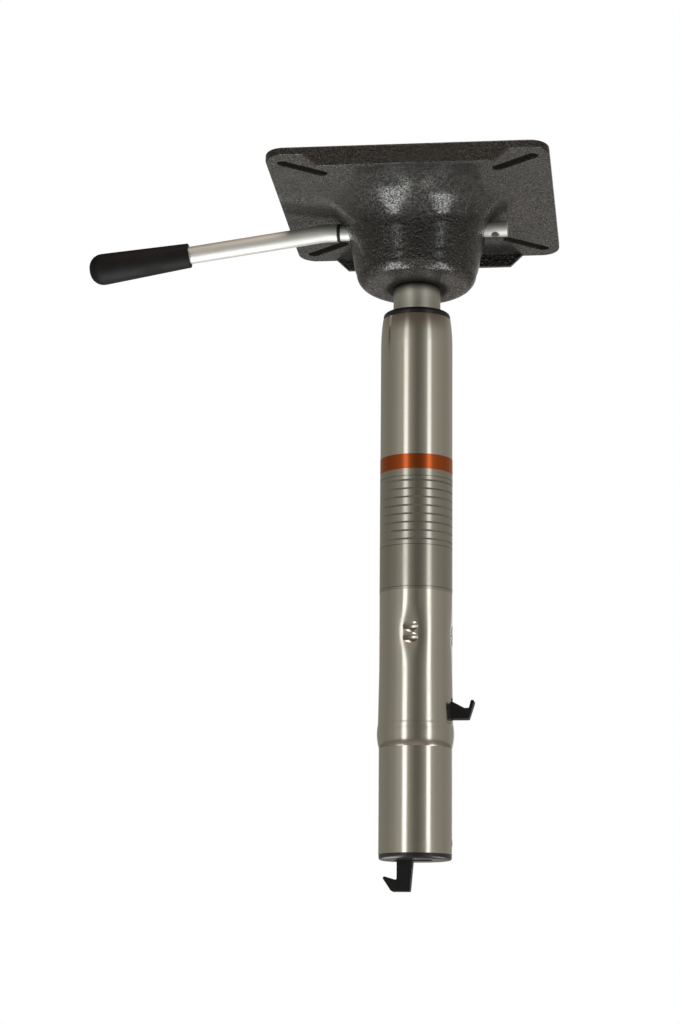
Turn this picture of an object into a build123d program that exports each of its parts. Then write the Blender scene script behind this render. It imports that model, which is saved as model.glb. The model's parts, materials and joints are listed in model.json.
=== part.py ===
from build123d import *
from math import acos, atan, cos, pi, radians, sin, tan
import os

os.makedirs("parts", exist_ok=True)

# Clearances: seats inside one body, running fits, and open gaps beside moving pieces
seat_gap = 0.05
running_gap = 0.05
side_gap = 0.3

# Post: a round tube, with a bead that stops it in its socket and a rim rolled in at the top
post_radius = 22.5
post_wall = 2.0
post_height = 334.0
rim_roll_height = 17.0
rim_roll_depth = 1.2
bead_low = 64.0
bead_height = 15.0
bead_crest_rise = 9.0
bead_depth = 1.2
flare_depth = 0.6
flare_height = 33.0

# Crimps: pairs of oval dents that hold the anchor disc, with the wall bulged between them
crimp_count = 4
crimp_turn = -3.3
crimp_level = 133.0
crimp_pitch = 7.0
crimp_depth = 0.8
crimp_dent_radius = 6.4
crimp_dent_sweep = 34.0
crimp_swell_radius = 4.6
crimp_bulge_height = 0.4
crimp_bulge_radius = 5.0

# Stakes: round dents that hold the latch housing in the lower end
stake_angles = (0, 120)
stake_level = 7.0
stake_depth = 1.0
stake_punch_radius = 3.0

# Guide bushing in the top of the post
bushing_depth = 86.0
bushing_end_height = 6.0
bushing_sleeve_wall = 2.4
bushing_collar_height = 24.0
bushing_rib_count = 8
bushing_rib_thickness = 2.4
cap_height = 4.4
cap_inset = 0.3
cap_round = 2.4

# Anchor disc and the bearing that carries the piston rod on it
disc_thickness = 4.0
disc_chamfer = 1.4
rod_tail_radius = 4.0
washer_radius = 9.5
washer_thickness = 1.6
washer_chamfer = 0.25
race_radius = 10.5
race_thickness = 2.0
groove_depth = 0.5
ball_radius = 1.8
ball_count = 8
ball_circle_radius = 7.6
cage_thickness = 1.4
cage_bore_slack = 0.5
clip_radius = 7.0
clip_thickness = 1.2
clip_groove_depth = 0.8
clip_mouth = 5.6
rod_tail_length = 3.0
bump_radius = 9.5
bump_height = 7.6
bump_round = 1.5

# Gas cylinder, with a taper at its upper end that wedges into the seat mount
cylinder_radius = 14.8
cylinder_wall = 1.8
taper_height = 31.0
taper_drop = 0.8
cylinder_lip = 4.5
cylinder_lip_thickness = 1.4
cylinder_edge_round = 0.8
gland_height = 17.0
seal_height = 3.0
seal_round = 0.8
piston_height = 9.0
piston_top_room = 9.0
piston_stem = 1.5
valve_depth = 26.0
valve_nose_radius = 5.2
valve_floor_gap = 1.0
button_radius = 3.5
button_length = 22.0
button_dome = 0.8
button_rise = 3.9
button_travel = 3.0
button_gap = 0.1
rod_radius = 5.0
rod_chamfer = 0.6
seal_depth = 2.5

# Seat mount: one casting with a square plate, two stiffening lips, a bowl and a tapered boss
plate_size = 171.5
plate_thickness = 5.0
plate_corner = 12.0
plate_tilt = 5.0
plate_rise = 67.8
plate_forward = 17.7
plate_side = 2.0
plate_edge_round = 1.2
plate_rim_round = 0.8
lip_depth = 7.8
lip_thickness = 3.4
lip_margin = 32.25
lip_end_slope = 8.0
slot_margin = 21.15
slot_length = 34.2
slot_width = 7.0
slot_angle = 36.6
bowl_radius = 45.2
bowl_draft = 0.19
bowl_depth = 46.8
bowl_blend = 13.0
blend_front_reach = 43.0
blend_front_depth = 22.0
blend_back_reach = 10.5
blend_back_depth = 10.5
blend_narrowing = 4
blend_levels = 8
blend_points = 24
blend_skin = 0.4
blend_wall_depths = (26.0, 30.0, 34.0)
blend_foot_depth = 38.0
bowl_round = 8.3
bowl_wall = 4.0
boss_radius = 19.5
boss_top_gap = 1.4
rib_thickness = 4.0
rib_drop = 12.0
cut_margin = 1.0

# Release lever: a turned rod through the bowl, bent down outside it, with a push-on grip
lever_depth = 8.3
lever_radius = 5.0
lever_outer_radius = 5.6
lever_stub = 57.5
lever_shoulder = 51.0
lever_bend = 59.0
lever_droop = 7.85
lever_bend_radius = 40.0
lever_lift = 4.0
lever_pivot_slack = 0.6
lever_end_round = 0.5
cross_hole = 49.6
cross_hole_radius = 2.6
cross_hole_slant = 70.0
ring_width = 2.0
ring_thickness = 0.9
ring_round = 0.7
grip_start = 88.0
grip_length = 65.4
grip_neck_radius = 7.85
grip_end_radius = 10.0
grip_start_round = 0.6
grip_end_round = 8.6
grip_shoulder_round = 4.3
grip_nose = 10.3
grip_tip_wall = 6.0

# Latch: one moulded lever with a trigger above the bead and a hook below the post
latch_thickness = 10.0
latch_pivot_side = -5.5
latch_pivot_level = 34.0
latch_pin_radius = 2.0
latch_pin_chamfer = 0.3
latch_boss_radius = 6.5
latch_swing = 9.5
hook_leg_left = -10.8
hook_leg_width = 9.6
hook_leg_taper = 1.7
hook_depth = 22.1
hook_throat_level = 15.4
hook_throat_round = 0.8
hook_point_reach = 9.7
hook_point_level = 12.5
hook_point_round = 1.0
hook_heel_reach = 3.3
hook_heel_round = 1.6
hook_toe_round = 0.9
hook_leg_round = 22.0
arm_seat = -3.0
arm_width = 9.0
arm_straight = 7.3
trigger_level = 82.0
trigger_height = 10.6
trigger_reach = 13.95
trigger_root_round = 4.0
trigger_saddle = 4.1
trigger_saddle_start = 7.7
trigger_saddle_end = 10.4
trigger_saddle_round = 0.7
trigger_tab_rise = 0.8
trigger_tab_width = 2.35
trigger_tab_lean = 3.6
trigger_tab_round = 0.9
trigger_slot_corner = 1.0
spring_level = 68.0
spring_radius = 3.05
spring_wire = 0.45
spring_turns = 5
spring_peg_radius = 2.2
spring_peg_length = 2.2

# Latch housing: a plug in the lower end of the post, with cheeks for the pin and a spring seat
housing_lip = 3.35
housing_lip_inset = 0.25
housing_lip_round = 1.5
plug_height = 14.0
cheek_thickness = 4.0
housing_wall = 3.5
housing_wall_left = -17.5
housing_slot_right = 10.0

# Sizes that follow from the values above
bore_radius = post_radius - post_wall
seat_radius = bore_radius - seat_gap
rim_radius = post_radius - rim_roll_depth
bead_crest_level = bead_low + bead_crest_rise
bead_top = bead_low + bead_height
dent_centre = post_radius - crimp_depth + crimp_dent_radius + crimp_dent_sweep
swell_centre = bore_radius - crimp_depth + crimp_swell_radius
bulge_centre = post_radius + crimp_bulge_height - crimp_bulge_radius
stake_centre = post_radius - stake_depth + stake_punch_radius
guide_radius = cylinder_radius + running_gap

disc_bottom = crimp_level - disc_thickness / 2
disc_top = disc_bottom + disc_thickness
washer_bottom = disc_bottom - washer_thickness
clip_bottom = washer_bottom - clip_thickness
rod_bottom = clip_bottom - rod_tail_length
ball_level = disc_top + race_thickness - groove_depth + ball_radius + running_gap
upper_race_bottom = ball_level + ball_radius - groove_depth + running_gap
rod_shoulder = upper_race_bottom + race_thickness
cylinder_bottom = rod_shoulder + bump_height + side_gap

plate_height = post_height + plate_rise
slot_pitch = plate_size - 2 * slot_margin
lip_length = plate_size - 2 * lip_margin
lever_height = plate_height - lever_depth
button_top = lever_height - lever_radius - button_gap
cylinder_top = button_top - button_rise
taper_start = cylinder_top - taper_height
taper_radius = cylinder_radius - taper_drop
cylinder_bore = cylinder_radius - cylinder_wall
valve_radius = taper_radius - cylinder_wall
valve_bottom = cylinder_top - cylinder_wall - valve_depth
piston_top = valve_bottom - piston_top_room
gland_bottom = cylinder_bottom + cylinder_lip_thickness
boss_top = button_top - button_rise - boss_top_gap

tilt = radians(plate_tilt)
plate_normal = Vector(0, sin(tilt), cos(tilt))
plate_plane = Plane(origin=(0, 0, plate_height), x_dir=(1, 0, 0), z_dir=plate_normal)
bowl_section = Plane(origin=(0, 0, plate_height), x_dir=(1, 0, 0), z_dir=(0, -cos(tilt), sin(tilt)))
bowl_axis = Axis((0, 0, plate_height), plate_normal)

leg_right = hook_leg_left + hook_leg_width
trigger_top = trigger_level + trigger_height
trigger_tip = post_radius + trigger_reach
saddle_level = trigger_top - trigger_saddle
housing_gap = latch_thickness / 2 + side_gap
housing_half = housing_gap + cheek_thickness
wall_right = housing_wall_left + housing_wall


def post_side(inset):
    """Draw one face of the post's wall, from its lower end to its rolled rim."""
    side = post_radius - inset
    flare_top = bead_top + flare_height
    Line((side, 0), (side, bead_low))
    ThreePointArc(
        (side, bead_low),
        (side + bead_depth, bead_crest_level),
        (side + flare_depth, bead_top),
    )
    Line((side + flare_depth, bead_top), (side, flare_top))
    Line((side, flare_top), (side, post_height - rim_roll_height))
    TangentArc(
        (side, post_height - rim_roll_height),
        (rim_radius - inset, post_height),
        tangent=(0, 1),
    )


def finish(part, name):
    """Name a finished piece and write it."""
    part.part.label = name
    export_step(part.part, f"parts/{name}.step")


# The crimps and stakes push the wall inwards, so the same dents stand proud in the bore
with BuildPart() as crimp_swells:
    with Locations((0, 0, crimp_level - crimp_pitch / 2), (0, 0, crimp_level + crimp_pitch / 2)):
        with PolarLocations(swell_centre, crimp_count, start_angle=crimp_turn):
            Cylinder(crimp_swell_radius, post_radius, rotation=(90, 0, 0))
    with Locations((0, 0, crimp_level)):
        Cylinder(bore_radius, 4 * crimp_pitch, mode=Mode.INTERSECT)

with BuildPart() as stake_swells:
    with Locations((0, 0, stake_level)):
        for angle in stake_angles:
            with PolarLocations(stake_centre, 1, start_angle=angle):
                Sphere(stake_punch_radius + post_wall)
        Cylinder(bore_radius, 2 * stake_level, mode=Mode.INTERSECT)

# Between two dents the wall bulges a little over the disc's rim
with BuildPart() as crimp_bulges:
    with Locations((0, 0, crimp_level)):
        with PolarLocations(bulge_centre, crimp_count, start_angle=crimp_turn):
            Sphere(crimp_bulge_radius)
        Cylinder(post_radius - post_wall / 2, 4 * crimp_bulge_radius, mode=Mode.SUBTRACT)

# Outer tube
with BuildPart() as outer_tube:
    with BuildSketch(Plane.XZ):
        with BuildLine():
            post_side(0)
            post_side(post_wall)
            Line((bore_radius, 0), (post_radius, 0))
            Line((rim_radius - post_wall, post_height), (rim_radius, post_height))
        make_face()
    revolve(axis=Axis.Z)
    add(crimp_swells.part)
    add(stake_swells.part)
    add(crimp_bulges.part)
    with Locations((0, 0, crimp_level - crimp_pitch / 2), (0, 0, crimp_level + crimp_pitch / 2)):
        with PolarLocations(dent_centre, crimp_count, start_angle=crimp_turn):
            Torus(crimp_dent_sweep, crimp_dent_radius, mode=Mode.SUBTRACT)
    with Locations((0, 0, stake_level)):
        for angle in stake_angles:
            with PolarLocations(stake_centre, 1, start_angle=angle):
                Sphere(stake_punch_radius, mode=Mode.SUBTRACT)
    # The trigger comes out through a slot in the right side, just above the bead. The slot is tall
    # enough for the trigger's saddle, which rises as it swings in.
    press = radians(latch_swing)
    saddle_swing = post_radius + trigger_saddle_end - latch_pivot_side
    saddle_rise = saddle_swing * sin(press) + (saddle_level - latch_pivot_level) * cos(press)
    slot_low = trigger_level - 2 * side_gap
    slot_high = latch_pivot_level + saddle_rise + 2 * side_gap
    with BuildSketch(Plane.YZ.offset(post_radius - 2 * post_wall)):
        with Locations((0, (slot_low + slot_high) / 2)):
            RectangleRounded(latch_thickness + 2 * side_gap, slot_high - slot_low, radius=trigger_slot_corner)
    extrude(amount=4 * post_wall, mode=Mode.SUBTRACT)
finish(outer_tube, "outer_tube")

# Guide bushing: a ribbed sleeve with a collar under the rolled rim and a cap above it
with BuildPart() as top_guide_bushing:
    bushing_bottom = post_height - bushing_depth
    sleeve_radius = guide_radius + bushing_sleeve_wall
    collar_bottom = post_height - bushing_collar_height
    cap_top = post_height + cap_height
    cap_radius = rim_radius - cap_inset
    with BuildSketch(Plane.XZ):
        with BuildLine():
            Polyline(
                (rim_radius - post_wall - seat_gap, post_height),
                (cap_radius, post_height),
                (cap_radius, cap_top),
                (guide_radius, cap_top),
                (guide_radius, bushing_bottom),
                (seat_radius, bushing_bottom),
                (seat_radius, bushing_bottom + bushing_end_height),
                (sleeve_radius, bushing_bottom + bushing_end_height),
                (sleeve_radius, collar_bottom),
                (seat_radius, collar_bottom),
                (seat_radius, post_height - rim_roll_height),
            )
            TangentArc(
                (seat_radius, post_height - rim_roll_height),
                (rim_radius - post_wall - seat_gap, post_height),
                tangent=(0, 1),
            )
        make_face()
    revolve(axis=Axis.Z)
    cap_rims = top_guide_bushing.edges().filter_by(GeomType.CIRCLE).group_by(Axis.Z)[-1]
    fillet(cap_rims.sort_by(SortBy.RADIUS)[-1], radius=cap_round)
    rib_width = seat_radius - sleeve_radius
    with BuildSketch(Plane.XY.offset(bushing_bottom + bushing_end_height)):
        with PolarLocations(sleeve_radius + rib_width / 2 - seat_gap, bushing_rib_count):
            Rectangle(rib_width, bushing_rib_thickness)
    extrude(amount=collar_bottom - bushing_bottom - bushing_end_height)
finish(top_guide_bushing, "top_guide_bushing")

# Latch housing
with BuildPart() as latch_housing:
    lip_radius = post_radius - housing_lip_inset
    with BuildSketch(Plane.XY.offset(-housing_lip)):
        Circle(lip_radius)
    extrude(amount=housing_lip)
    fillet(latch_housing.edges().group_by(Axis.Z)[0], radius=housing_lip_round)
    with BuildSketch():
        Circle(seat_radius)
    extrude(amount=plug_height)
    cheek_right = latch_pivot_side + latch_boss_radius
    with BuildSketch(Plane.XZ):
        with Locations(((housing_wall_left + cheek_right) / 2, (plug_height + latch_pivot_level) / 2)):
            Rectangle(cheek_right - housing_wall_left, latch_pivot_level - plug_height)
        with Locations((latch_pivot_side, latch_pivot_level)):
            Circle(latch_boss_radius)
    extrude(amount=housing_half, both=True)
    with BuildSketch(Plane.XZ):
        slot_left = min(hook_leg_left, latch_pivot_side - latch_boss_radius) - 2 * side_gap
        slot_top = latch_pivot_level + 2 * latch_boss_radius
        with Locations(((slot_left + housing_slot_right) / 2, (slot_top - 2 * housing_lip) / 2)):
            Rectangle(housing_slot_right - slot_left, slot_top + 2 * housing_lip)
    extrude(amount=housing_gap, both=True, mode=Mode.SUBTRACT)
    wall_top = spring_level + spring_radius + housing_wall
    with BuildSketch(Plane.XZ):
        with Locations((housing_wall_left + housing_wall / 2, (plug_height + wall_top) / 2)):
            Rectangle(housing_wall, wall_top - plug_height)
    extrude(amount=housing_half, both=True)
    with BuildSketch(Plane.YZ.offset(wall_right)):
        with Locations((0, spring_level)):
            Circle(spring_peg_radius)
    extrude(amount=spring_peg_length)
    with Locations((latch_pivot_side, 0, latch_pivot_level)):
        Cylinder(latch_pin_radius + seat_gap, 4 * housing_half, rotation=(90, 0, 0), mode=Mode.SUBTRACT)
    with Locations((0, 0, stake_level)):
        for angle in stake_angles:
            with PolarLocations(stake_centre, 1, start_angle=angle):
                Sphere(stake_punch_radius + post_wall + seat_gap, mode=Mode.SUBTRACT)
finish(latch_housing, "latch_housing")

# Latch pin
with BuildPart() as latch_pin:
    with Locations((latch_pivot_side, 0, latch_pivot_level)):
        Cylinder(latch_pin_radius, 2 * housing_half, rotation=(90, 0, 0))
    chamfer(latch_pin.edges().filter_by(GeomType.CIRCLE), length=latch_pin_chamfer)
finish(latch_pin, "latch_pin")

# Latch lever: leg and hook below the pin, arm and trigger above it
with BuildPart() as latch_lever:
    boss_left = latch_pivot_side - latch_boss_radius
    boss_right = latch_pivot_side + latch_boss_radius
    arm_right = arm_seat + arm_width
    arm_bottom = spring_level - arm_straight
    with BuildSketch(Plane.XZ):
        with BuildLine():
            FilletPolyline(
                (hook_leg_left, latch_pivot_level),
                (hook_leg_left, -hook_throat_level),
                (hook_leg_left - hook_point_reach, -hook_point_level),
                (hook_leg_left - hook_heel_reach, -hook_depth),
                (leg_right - hook_leg_taper, -hook_depth),
                (leg_right, -housing_lip),
                (leg_right, latch_pivot_level),
                radius=(
                    hook_throat_round,
                    hook_point_round,
                    hook_heel_round,
                    hook_toe_round,
                    hook_leg_round,
                ),
            )
            Line((leg_right, latch_pivot_level), (hook_leg_left, latch_pivot_level))
        make_face()
        with BuildLine():
            FilletPolyline(
                (arm_seat, arm_bottom),
                (arm_seat, trigger_top),
                (post_radius, trigger_top),
                (post_radius + trigger_saddle_start, saddle_level),
                (post_radius + trigger_saddle_end, saddle_level),
                (trigger_tip - trigger_tab_width, trigger_top + trigger_tab_rise),
                (trigger_tip, trigger_top + trigger_tab_rise),
                (trigger_tip - trigger_tab_lean, trigger_level),
                (arm_right, trigger_level),
                (arm_right, arm_bottom),
                radius=(
                    trigger_tab_round,
                    trigger_tab_round,
                    trigger_saddle_round,
                    trigger_saddle_round,
                    trigger_tab_round,
                    trigger_tab_round,
                    trigger_tab_round,
                    trigger_root_round,
                ),
            )
            Line((arm_right, arm_bottom), (arm_seat, arm_bottom))
        make_face()
        Polygon(
            (boss_left, latch_pivot_level),
            (boss_right, latch_pivot_level),
            (arm_right, arm_bottom),
            (arm_seat, arm_bottom),
            align=None,
        )
        with Locations((latch_pivot_side, latch_pivot_level)):
            Circle(latch_boss_radius)
            Circle(latch_pin_radius + running_gap, mode=Mode.SUBTRACT)
    extrude(amount=latch_thickness / 2, both=True)
    with BuildSketch(Plane.YZ.offset(arm_seat)):
        with Locations((0, spring_level)):
            Circle(spring_peg_radius)
    extrude(amount=-spring_peg_length)
finish(latch_lever, "latch_lever")

# Latch spring: a coil between the housing's wall and the arm
with BuildPart() as latch_spring:
    spring_start = wall_right + spring_wire + seat_gap
    spring_end = arm_seat - spring_wire - seat_gap
    spring_length = spring_end - spring_start
    with BuildLine():
        coil = Helix(
            pitch=spring_length / spring_turns,
            height=spring_length,
            radius=spring_radius,
            center=(spring_start, 0, spring_level),
            direction=(1, 0, 0),
        )
    with BuildSketch(Plane(origin=coil @ 0, z_dir=coil % 0)):
        Circle(spring_wire)
    sweep()
finish(latch_spring, "latch_spring")

# Anchor disc, gripped at its rim between the two rows of dents
with BuildPart() as anchor_disc:
    with BuildSketch(Plane.XY.offset(disc_bottom)):
        Circle(seat_radius)
        Circle(rod_tail_radius + running_gap, mode=Mode.SUBTRACT)
    extrude(amount=disc_thickness)
    rim_edges = anchor_disc.edges().filter_by(GeomType.CIRCLE).group_by(SortBy.RADIUS)[-1]
    chamfer(rim_edges, length=disc_chamfer)
finish(anchor_disc, "anchor_disc")


def washer(bottom, thickness, outer, inner):
    """Make one flat washer on the rod's axis."""
    with BuildPart() as ring:
        with BuildSketch(Plane.XY.offset(bottom)):
            Circle(outer)
            Circle(inner, mode=Mode.SUBTRACT)
        extrude(amount=thickness)
        rims = ring.edges().filter_by(GeomType.CIRCLE).group_by(SortBy.RADIUS)[-1]
        chamfer(rims, length=washer_chamfer)
    return ring


rod_washer = washer(washer_bottom, washer_thickness, washer_radius, rod_tail_radius + side_gap)
finish(rod_washer, "rod_washer")


def race(bottom, bore):
    """Make one bearing race, grooved for the balls on the side that faces them."""
    with BuildPart() as ring:
        with BuildSketch(Plane.XY.offset(bottom)):
            Circle(race_radius)
            Circle(bore, mode=Mode.SUBTRACT)
        extrude(amount=race_thickness)
        with Locations((0, 0, ball_level)):
            Torus(ball_circle_radius, ball_radius + running_gap, mode=Mode.SUBTRACT)
    return ring


lower_race = race(disc_top, rod_tail_radius + side_gap)
finish(lower_race, "lower_race")
upper_race = race(upper_race_bottom, rod_tail_radius + seat_gap)
finish(upper_race, "upper_race")

# Bearing balls and the cage that spaces them
with BuildPart() as thrust_balls:
    with Locations((0, 0, ball_level)):
        with PolarLocations(ball_circle_radius, ball_count):
            Sphere(ball_radius)
finish(thrust_balls, "thrust_balls")

with BuildPart() as thrust_cage:
    with BuildSketch(Plane.XY.offset(ball_level - cage_thickness / 2)):
        Circle(race_radius)
        Circle(rod_tail_radius + cage_bore_slack, mode=Mode.SUBTRACT)
        with PolarLocations(ball_circle_radius, ball_count):
            Circle(ball_radius + seat_gap, mode=Mode.SUBTRACT)
    extrude(amount=cage_thickness)
finish(thrust_cage, "thrust_cage")

# Clip that snaps into the rod's groove below the washer
with BuildPart() as rod_clip:
    groove_radius = rod_tail_radius - clip_groove_depth
    with BuildSketch(Plane.XY.offset(clip_bottom)):
        Circle(clip_radius)
        Circle(groove_radius + seat_gap, mode=Mode.SUBTRACT)
        with Locations((clip_radius / 2, 0)):
            Rectangle(clip_radius, clip_mouth, mode=Mode.SUBTRACT)
    extrude(amount=clip_thickness)
finish(rod_clip, "rod_clip")

# Rubber stop on the rod, under the cylinder
with BuildPart() as bump_stop:
    with BuildSketch(Plane.XY.offset(rod_shoulder)):
        Circle(bump_radius)
        Circle(rod_radius + seat_gap, mode=Mode.SUBTRACT)
    extrude(amount=bump_height)
    bump_rims = bump_stop.edges().filter_by(GeomType.CIRCLE).group_by(SortBy.RADIUS)[-1]
    fillet(bump_rims, radius=bump_round)
finish(bump_stop, "bump_stop")

# Piston rod, stepped down at both ends
with BuildPart() as piston_rod:
    piston_bottom = piston_top - piston_height
    with BuildSketch(Plane.XZ):
        with BuildLine():
            Polyline(
                (0, rod_bottom),
                (rod_tail_radius, rod_bottom),
                (rod_tail_radius, clip_bottom),
                (groove_radius, clip_bottom),
                (groove_radius, clip_bottom + clip_thickness),
                (rod_tail_radius, clip_bottom + clip_thickness),
                (rod_tail_radius, rod_shoulder),
                (rod_radius, rod_shoulder),
                (rod_radius, piston_bottom),
                (rod_tail_radius, piston_bottom),
                (rod_tail_radius, piston_top + piston_stem),
                (0, piston_top + piston_stem),
                close=True,
            )
        make_face()
    revolve(axis=Axis.Z)
    chamfer(piston_rod.edges().group_by(Axis.Z)[0], length=rod_chamfer)
finish(piston_rod, "piston_rod")

# Piston and its seal
seal_level = piston_top - piston_height / 2
seal_groove = cylinder_bore - seal_depth
with BuildPart() as piston:
    with BuildSketch(Plane.XY.offset(piston_bottom)):
        Circle(cylinder_bore - side_gap)
        Circle(rod_tail_radius + seat_gap, mode=Mode.SUBTRACT)
    extrude(amount=piston_height)
    with BuildSketch(Plane.XY.offset(seal_level - seal_height / 2)):
        Circle(cylinder_bore)
        Circle(seal_groove, mode=Mode.SUBTRACT)
    extrude(amount=seal_height, mode=Mode.SUBTRACT)
finish(piston, "piston")

with BuildPart() as piston_seal:
    with BuildSketch(Plane.XY.offset(seal_level - seal_height / 2)):
        Circle(cylinder_bore - running_gap)
        Circle(seal_groove + seat_gap, mode=Mode.SUBTRACT)
    extrude(amount=seal_height)
    fillet(piston_seal.edges().filter_by(GeomType.CIRCLE), radius=seal_round)
finish(piston_seal, "piston_seal")

# Gas cylinder: closed by a rolled lip below and by the shoulder round the valve above
with BuildPart() as gas_cylinder:
    lip_bore = cylinder_bore - cylinder_lip
    with BuildSketch(Plane.XZ):
        with BuildLine():
            Polyline(
                (lip_bore, cylinder_bottom),
                (cylinder_radius, cylinder_bottom),
                (cylinder_radius, taper_start),
                (taper_radius, cylinder_top),
                (valve_nose_radius + seat_gap, cylinder_top),
                (valve_nose_radius + seat_gap, cylinder_top - cylinder_wall),
                (valve_radius + seat_gap, cylinder_top - cylinder_wall),
                (valve_radius + seat_gap, valve_bottom),
                (cylinder_bore, valve_bottom),
                (cylinder_bore, gland_bottom),
                (lip_bore, gland_bottom),
                close=True,
            )
        make_face()
    revolve(axis=Axis.Z)
    ends = gas_cylinder.edges().filter_by(GeomType.CIRCLE)
    rims = [ends.group_by(Axis.Z)[i].sort_by(SortBy.RADIUS)[-1] for i in (0, -1)]
    fillet(rims, radius=cylinder_edge_round)
finish(gas_cylinder, "gas_cylinder")

# Gland that guides the rod in the lower end of the cylinder, with its seal on top
with BuildPart() as rod_gland:
    with BuildSketch(Plane.XY.offset(gland_bottom)):
        Circle(cylinder_bore - seat_gap)
        Circle(rod_radius + running_gap, mode=Mode.SUBTRACT)
    extrude(amount=gland_height)
finish(rod_gland, "rod_gland")

with BuildPart() as gland_seal:
    with BuildSketch(Plane.XY.offset(gland_bottom + gland_height)):
        Circle(cylinder_bore - seat_gap)
        Circle(rod_radius + running_gap, mode=Mode.SUBTRACT)
    extrude(amount=seal_height)
finish(gland_seal, "gland_seal")

# Valve body in the upper end, bored for the release button
with BuildPart() as valve_body:
    with BuildSketch(Plane.XY.offset(valve_bottom)):
        Circle(valve_radius)
    extrude(amount=valve_depth)
    with BuildSketch(Plane.XY.offset(valve_bottom + valve_depth)):
        Circle(valve_nose_radius)
    extrude(amount=cylinder_wall)
    button_bottom = button_top - button_length
    with BuildSketch(Plane.XY.offset(button_bottom - button_travel - valve_floor_gap)):
        Circle(button_radius + running_gap)
    extrude(amount=button_length + button_travel, mode=Mode.SUBTRACT)
finish(valve_body, "valve_body")

with BuildPart() as release_button:
    with BuildSketch(Plane.XZ):
        with BuildLine():
            Polyline(
                (0, button_top),
                (0, button_bottom),
                (button_radius, button_bottom),
                (button_radius, button_top - button_dome),
            )
            TangentArc(
                (0, button_top),
                (button_radius, button_top - button_dome),
                tangent=(1, 0),
            )
        make_face()
    revolve(axis=Axis.Z)
finish(release_button, "release_button")

# Bowl of the seat mount, outside and inside, revolved about the plate's normal
with BuildPart() as bowl_outside:
    with BuildSketch(bowl_section):
        with BuildLine():
            foot_reach = bowl_radius - bowl_draft * bowl_depth
            FilletPolyline(
                (bowl_radius, 0),
                (foot_reach, -bowl_depth),
                (0, -bowl_depth),
                radius=bowl_round,
            )
            Polyline((0, -bowl_depth), (0, plate_thickness), (bowl_radius, plate_thickness), (bowl_radius, 0))
        make_face()
    revolve(axis=bowl_axis)


def blend_outline(depth):
    """List points round the blend of bowl and plate, at one depth below the plate's underside."""
    skin = -blend_skin if depth == blend_foot_depth else blend_skin
    wall = bowl_radius - bowl_draft * depth + skin
    points = []
    for step in range(blend_points):
        turn = 2 * pi * step / blend_points
        frontness = ((1 + cos(turn)) / 2) ** blend_narrowing
        reach = blend_back_reach + (blend_front_reach - blend_back_reach) * frontness
        fall = blend_back_depth + (blend_front_depth - blend_back_depth) * frontness
        slope = acos(1 - min((depth + blend_skin) / fall, 1))
        side = wall + reach * (1 - sin(slope))
        points.append((side * sin(turn), -side * cos(turn)))
    return points


# The bowl runs into the plate in a blend that is tight behind and broad in front. It covers the
# wall as a thin skin, which dips into the wall just above the foot's rounding.
with BuildPart() as bowl_flare:
    blend_turns = [radians(90 * level / (blend_levels - 1)) for level in range(blend_levels)]
    blend_depths = [blend_front_depth * (1 - cos(turn)) - blend_skin for turn in blend_turns]
    for blend_depth in (*blend_depths, *blend_wall_depths, blend_foot_depth):
        with BuildSketch(plate_plane.offset(-blend_depth)):
            with BuildLine():
                Spline(*blend_outline(blend_depth), periodic=True)
            make_face()
    loft()

with BuildPart() as bowl_inside:
    with BuildSketch(bowl_section):
        with BuildLine():
            wall_shift = bowl_wall / cos(atan(bowl_draft))
            mouth_reach = bowl_radius - wall_shift + bowl_draft * plate_thickness
            floor_level = -bowl_depth + plate_thickness
            floor_reach = bowl_radius - wall_shift + bowl_draft * floor_level
            mouth_top = 2 * plate_thickness
            FilletPolyline(
                (mouth_reach + 2 * bowl_blend, mouth_top),
                (mouth_reach + 2 * bowl_blend, plate_thickness),
                (mouth_reach, plate_thickness),
                (floor_reach, floor_level),
                (0, floor_level),
                radius=(0, bowl_blend + bowl_wall, bowl_round - bowl_wall),
            )
            Polyline((0, floor_level), (0, mouth_top), (mouth_reach + 2 * bowl_blend, mouth_top))
        make_face()
    revolve(axis=bowl_axis)

# Boss for the cylinder's taper, with four ribs to the bowl's wall
with BuildPart() as bowl_core:
    bowl_bottom = plate_height - bowl_depth
    with BuildSketch(Plane.XY.offset(bowl_bottom)):
        Circle(boss_radius)
    extrude(amount=boss_top - bowl_bottom)
    rib_top = boss_top - rib_drop
    with BuildSketch(Plane.XY.offset(bowl_bottom)):
        for angle in (45, 135):
            with Locations(Rotation(0, 0, angle)):
                Rectangle(2 * bowl_radius, rib_thickness)
    extrude(amount=rib_top - bowl_bottom)
    add(bowl_outside.part, mode=Mode.INTERSECT)

def on_lower_rim(edge):
    """Tell whether an edge of the plate or its lips belongs to the lower edge of its outline."""
    spot = plate_plane.to_local_coords(edge.center())
    across = max(abs(spot.X - plate_side), abs(spot.Y + plate_forward))
    on_outline = across > plate_size / 2 - seat_gap
    on_corner = edge.geom_type == GeomType.CIRCLE and abs(edge.radius - plate_corner) < seat_gap
    return spot.Z < plate_rim_round and (on_outline or on_corner)


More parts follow.
